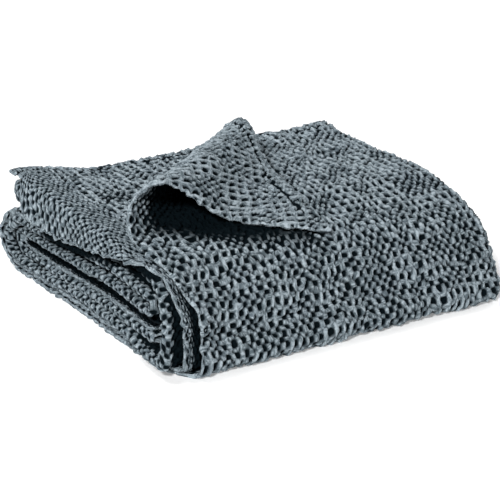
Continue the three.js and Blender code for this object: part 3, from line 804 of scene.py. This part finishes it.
cotton = {
    # ridge is the yarn's own colour and ridgeWarm its tone in random patches; light is partly the
    # yarns' own lighter strands and partly a painted highlight; flank is painted shade on the slopes
    # into the hollows, and hollow is painted shade that fills the holes, the curl and the gaps
    "ridge": (0.112, 0.143, 0.165, 1), "ridgeWarm": (0.086, 0.112, 0.126, 1),
    "light": (0.425, 0.495, 0.540, 1), "flankShade": (0.030, 0.042, 0.051, 1),
    "hollow": (0.003, 0.006, 0.008, 1),
    # where on a cell the painted shade of the hollow and of its flank, and the rope beside it, begin
    # and end
    "hollowShadeEdge": (-0.14, 0.26), "flankShadeEdge": (-0.62, 0.06), "ropeEdge": (0.06, 0.5),
    "flankShadeShare": 0.78, "flankShadeRope": 0.7,
    "patchScale": 24, "patchEdge": (0.35, 0.65), "fluffScale": 230, "speckScale": 620,
    "yarns": 5.5, "yarnRun": 1.6, "yarnLean": (-0.7, 0.7),  # noise in a cell, across and along yarns
    # what makes the yarns bright, partly their own lighter strands and partly a painted highlight on
    # the crests and ropes, and where painted shade keeps them dark
    "yarnLight": 2.6, "fluffLight": 0.6, "speckLight": 0.8, "ropeHighlight": 0.2, "lessLight": 1.6,
    "lightShare": 0.85, "flankDark": 0.6, "paintedShadeEdge": (0.2, 0.98),
    "yarnBump": 0.0026, "yarnStrength": 0.8, "fuzzBump": 0.001, "fuzzStrength": 0.9, "speckBump": 0.3,
    "roughness": 0.95, "specular": 0.02,
}


# the cloth's colour follows the same product of cosines as its relief, from the cell coordinates in
# the uv map; noise stretched along each cell's yarns gives the strands. Painted shade darkens the
# hollows, their flanks, the curl and the gaps, and a painted highlight lightens the crests and ropes
def makeCotton():
    c = cotton
    material = bpy.data.materials.new("honeycombCotton")
    tree = Tree(material)
    place = tree.objectPlace()
    cells = tree.node("ShaderNodeUVMap", {"uv_map": "weave"})
    p = tree.node("ShaderNodeSeparateXYZ", None, {0: cells})
    q = Tone(tree, p.socket.node.outputs[1])
    shut, favour, paintedShade = tree.attribute("shut"), tree.attribute("favour"), tree.attribute("paintedShade")
    cosP, cosQ = (p * (2 * math.pi)).cosine(), (q * (2 * math.pi)).cosine()
    over = cosP * cosQ + favour * (cosP + cosQ) * 0.5 - shut
    # a painted highlight along the ropes, which also takes the painted shade off their flanks
    rope = (favour * cosP * -1).ease(*c["ropeEdge"])
    # painted shade of the hollows, and of the flanks that slope down into them
    hollow = over.ease(*c["hollowShadeEdge"])
    flankShade = over.ease(*c["flankShadeEdge"]) * (1 - rope * c["flankShadeRope"])
    patches = tree.noise(place, c["patchScale"], 2)
    fluff = tree.noise(place, c["fluffScale"], 3)
    specks = tree.noise(place, c["speckScale"], 2)
    # yarns run along the cloth on one raised cell and across it on the next
    lean = (cosP - cosQ).ease(*c["yarnLean"])
    alongPlace = tree.node("ShaderNodeCombineXYZ", None, {"X": p * c["yarns"], "Y": q * c["yarnRun"]})
    acrossPlace = tree.node("ShaderNodeCombineXYZ", None, {"X": p * c["yarnRun"], "Y": q * c["yarns"]})
    yarn = tree.noise(alongPlace, 1, 2) * (1 - lean) + tree.noise(acrossPlace, 1, 2) * lean
    # the yarns' own lighter strands, and a painted highlight on the crests and ropes
    toneAndHighlight = (yarn * c["yarnLight"] + fluff * c["fluffLight"] + specks * c["speckLight"]
              + rope * c["ropeHighlight"] - c["lessLight"]).ease(0, 1)
    base = tree.blend(patches.ease(*c["patchEdge"]), c["ridge"], c["ridgeWarm"])
    # the light colour: the yarns' own lighter strands and a painted highlight, kept off the flanks
    base = tree.blend(toneAndHighlight * (1 - flankShade * c["flankDark"]) * c["lightShare"], base, c["light"])
    # painted shade on the slopes down into the hollows
    base = tree.blend(flankShade * c["flankShadeShare"], base, c["flankShade"])
    # painted shade: the holes are filled with a near-black colour
    base = tree.blend(hollow, base, c["hollow"])
    # painted shade in the curl and the gaps: near-black over the hollows and flanks first, then over
    # the crests
    base = tree.blend((paintedShade * (flankShade + 1)).ease(*c["paintedShadeEdge"]), base, c["hollow"])
    strands = tree.node("ShaderNodeBump", None, {
        "Strength": c["yarnStrength"], "Distance": c["yarnBump"], "Height": yarn * (1 - hollow)})
    fuzz = tree.node("ShaderNodeBump", None, {
        "Strength": c["fuzzStrength"], "Distance": c["fuzzBump"],
        "Height": specks * c["speckBump"] + fluff, "Normal": strands})
    tree.finish({"Base Color": base, "Roughness": c["roughness"], "Specular IOR Level": c["specular"],
                 "Normal": fuzz})
    return material


# where the sheets meet: past the bend at the right, on the topmost ply, and along the fold path
bendEnd = ply + cloth["outerBend"] + 12
secondStart = bendFinish + ply - 2
cutAcross, cutAlong = 220, legStart(1)
underStart, backStart, innerStart = legStart(2) + 25, legStart(3) - 20, legStart(4) + 25
endAlong = legStart(legCount)

# each sheet has its grid lines in runs of start, end and step, its weave, and the pieces cut from it
# with their flat sizes across and along the cloth in metres, measured on these folds
topmostLines = {
    "across": [(0, 5, 0.8), (5, cutAcross, 1.45), (cutAcross, bendEnd, 1.6)],
    "along": [(0, 5, 0.8), (5, cutAlong, 1.4), (cutAlong, underStart, 1.35)],
}

sheets = {
    "topmost ply, turned corner": {
        **topmostLines,
        "weave": {"free": ["left", "hem"], "measured": True},
        "pieces": {
            "turnedCorner": {"flat": (0.26, 0.385), "along": (0, cutAlong),
                             "across": (0, cutAcross), "keep": [(1, 0, 0), (1, 0, 0)]},
        },
    },
    "topmost ply, top and front fold": {
        **topmostLines,
        "weave": {"free": ["left", "hem"], "measured": True, "hidden": (-1, 44), "inner": (-1,)},
        "pieces": {
            "topPly": {"flat": (0.25, 0.36), "along": (0, cutAlong),
                       "across": (cutAcross, bendEnd), "keep": [(5, 44, 0), (5, 0, 0)]},
            "frontFold": {"flat": (0.47, 0.24), "along": (cutAlong, underStart),
                          "keep": [(4, 0, 0), (5, 44, 0)]},
        },
    },
    "cover ply, under side": {
        "across": [(0, 5, 0.9), (5, 40, 1.7), (40, 405, 7.5), (405, bendEnd, 1.6)],
        "along": [(underStart, backStart, 2.4)],
        "weave": {"free": ["left"], "hidden": (-1, 38), "lumps": 0,
                  "inner": (-1,), "relief": 0.85, "roped": 0.3},
        "pieces": {"underSide": {"flat": (0.47, 0.31), "keep": [(3, 0, 0), (4, 38, 0)]}},
    },
    "cover ply, back fold": {
        "across": [(0, 5, 0.9), (5, bendEnd, 1.7)],
        "along": [(backStart, innerStart, 1.5)],
        "weave": {"free": ["left"], "hidden": (-1, 40), "inner": (-1,)},
        "pieces": {"backFold": {"flat": (0.47, 0.215), "keep": [(4, 0, 0), (5, 40, 0)]}},
    },
    "cover ply, inner passes": {
        "across": [(0, 5, 0.9), (5, 50, 1.8), (50, 405, 18), (405, bendEnd, 1.8)],
        "along": [(innerStart, endAlong, 2.6)],
        "weave": {"free": ["left", "end"], "hidden": (-1, 40), "lumps": 0,
                  "inner": (1, -1), "relief": 0.8, "roped": 0.2},
        "pieces": {"innerPasses": {"flat": (0.47, 1.06), "keep": [(2, 0, 0), (4, 40, 0)]}},
    },
    "third and fourth ply with their loose bend": {
        "across": [(bendEnd, bendStart - 45, 20), (bendStart - 45, bendStart, 2.0),
                   (bendStart, bendFinish, 1.4), (bendFinish, bendFinish + 45, 2.0),
                   (bendFinish + 45, secondStart, 20)],
        "along": [(0, 5, 0.9), (5, endAlong, 2.5)],
        "weave": {"free": ["hem", "end"], "hidden": (-1, 0), "lumps": 0,
                  "inner": (1, -1), "relief": 0.7, "roped": 0.2, "dense": (0, 1.15), "closed": 0.1},
        "pieces": {"looseBend": {"flat": (0.86, 2.02), "keep": [(4, 0, 0), (4, 0, 0)]}},
    },
    "second ply, top pass and margin": {
        "across": [(secondStart, secondEnd - 350, 9), (secondEnd - 350, secondEnd - 80, 1.65),
                   (secondEnd - 80, secondEnd - 5, 1.15), (secondEnd - 5, secondEnd, 0.9)],
        "along": [(0, 5, 0.8), (5, cutAlong, 1.6)],
        "weave": {"free": ["right", "hem"], "hidden": (1, 50), "lumps": 0.4,
                  "relief": 0.8, "dense": (secondEnd - 60, 1.6), "hanging": True},
        "pieces": {"secondPly": {"flat": (0.46, 0.39), "keep": [(4, 40, 0), (4, 0, 50)],
                                 "fineSide": -1}},
    },
    "second ply, all other passes": {
        "across": [(secondStart, secondEnd - 70, 20), (secondEnd - 70, secondEnd - 5, 1.9),
                   (secondEnd - 5, secondEnd, 0.9)],
        "along": [(cutAlong, endAlong, 2.6)],
        "weave": {"free": ["right", "end"], "hidden": (1, 50), "lumps": 0,
                  "inner": (1, -1), "relief": 0.8, "roped": 0.15, "dense": (secondEnd - 60, 1.6)},
        "pieces": {"secondPlyInside": {"flat": (0.46, 1.67), "keep": [(2, 0, 0), (3, 0, 50)],
                                       "fineSide": -1}},
    },
}

cottonMaterial = makeCotton()
pieces, flatSizes = {}, {}
for stage, sheet in sheets.items():
    print(stage)
    acrossLines, alongLines = spans(*sheet["across"]), spans(*sheet["along"])
    sides = weaveSheet(acrossLines, alongLines, **sheet["weave"])
    for name, cut in sheet["pieces"].items():
        pieces[name] = makePiece(name, sides, acrossLines, alongLines, cut, cottonMaterial)
        flatSizes[name] = cut["flat"]

for piece in pieces.values():
    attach(piece, "root")
    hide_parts("bedspread")

print("floor, lights and camera")
floorLook = {
    "half": 12, "colour": (0.86, 0.86, 0.86, 1), "roughness": 0.9,
    # in metres from the pack: the floor glows more there, so that it stays pale up to the horizon
    "glowFade": (0.8, 2.8), "glowNear": (0.25, 0.25, 0.25, 1), "glowFar": (1, 1, 1, 1),
}


# a flat square whose glow grows with the distance from its middle
def makeFloor():
    f = floorLook
    half = f["half"]
    mesh = bpy.data.meshes.new("floor")
    mesh.from_pydata([(-half, -half, 0), (half, -half, 0), (half, half, 0), (-half, half, 0)], [],
                     [(0, 1, 2, 3)])
    material = bpy.data.materials.new("paleFloor")
    tree = Tree(material)
    away = tree.node("ShaderNodeVectorMath", {"operation": "LENGTH"}, {0: tree.objectPlace()}, 1)
    glow = tree.blend(away.ease(*f["glowFade"]), f["glowNear"], f["glowFar"])
    tree.finish({"Base Color": f["colour"], "Roughness": f["roughness"], "Emission Color": glow,
                 "Emission Strength": 1})
    mesh.materials.append(material)
    return addObject("floor", mesh)


floor = makeFloor()

# lights in metres and watts, aimed at the pack
studio = {
    "world": 0.1, "aim": (0, 0, 0.06),
    "lamps": {
        "key": {"place": (-0.9, 1.2, 2.2), "size": 0.8, "power": 28},
        "front": {"place": (-3.8, -3.6, 3.7), "size": 0.9, "power": 400},
        "right": {"place": (2.4, 0.3, 1.5), "size": 1.4, "power": 26},
    },
}

world = bpy.data.worlds.new("studio")
bpy.context.scene.world = world
world.use_nodes = True
background = world.node_tree.nodes["Background"].inputs
background["Color"].default_value = (1, 1, 1, 1)
background["Strength"].default_value = studio["world"]


# turns a lamp or camera towards a point: its yaw and pitch are the angles of the line to it
def aimAt(thing, place, target):
    toward = np.array(target, float) - np.array(place, float)
    yaw = math.atan2(-toward[0], toward[1])
    pitch = math.atan2(toward[2], math.hypot(toward[0], toward[1]))
    thing.location = place
    thing.rotation_euler = (math.pi / 2 + pitch, 0, yaw)


for name, lamp in studio["lamps"].items():
    light = bpy.data.lights.new(name, "AREA")
    light.size, light.energy = lamp["size"], lamp["power"]
    aimAt(addObject(name, light), lamp["place"], studio["aim"])

# the photograph's viewing angle in millimetres and degrees; the focal length and the target's offset
# from the picture's middle are in pixels, and offsetUnit of these are as long as the distance
lookout = {
    "target": (4.66, -4.05, 65.0), "azimuthElevation": (-31.29, 19.04), "distance": 1925.9,
    "focal": 1600.4, "picture": 500, "sensor": 36, "offset": (3.72, -19.56), "offsetUnit": 1600,
}
azimuth, elevation = map(math.radians, lookout["azimuthElevation"])
backward = np.array([math.sin(azimuth) * math.cos(elevation),
                     -math.cos(azimuth) * math.cos(elevation), math.sin(elevation)])
rightward = np.array([math.cos(azimuth), math.sin(azimuth), 0.0])
upward = np.cross(backward, rightward)
target = np.array(lookout["target"]) / 1000
distance = lookout["distance"] / 1000
place = target + backward * distance
perPixel = distance / lookout["offsetUnit"]
aim = (target - rightward * lookout["offset"][0] * perPixel
       + upward * lookout["offset"][1] * perPixel)
camera = bpy.data.cameras.new("camera")
camera.sensor_width = lookout["sensor"]
camera.lens = lookout["focal"] / lookout["picture"] * lookout["sensor"]
camera.clip_end = 100
cameraObject = addObject("camera", camera)
aimAt(cameraObject, place, aim)
bpy.context.scene.camera = cameraObject
bpy.context.scene.view_settings.view_transform = "Standard"

bpy.context.view_layer.update()
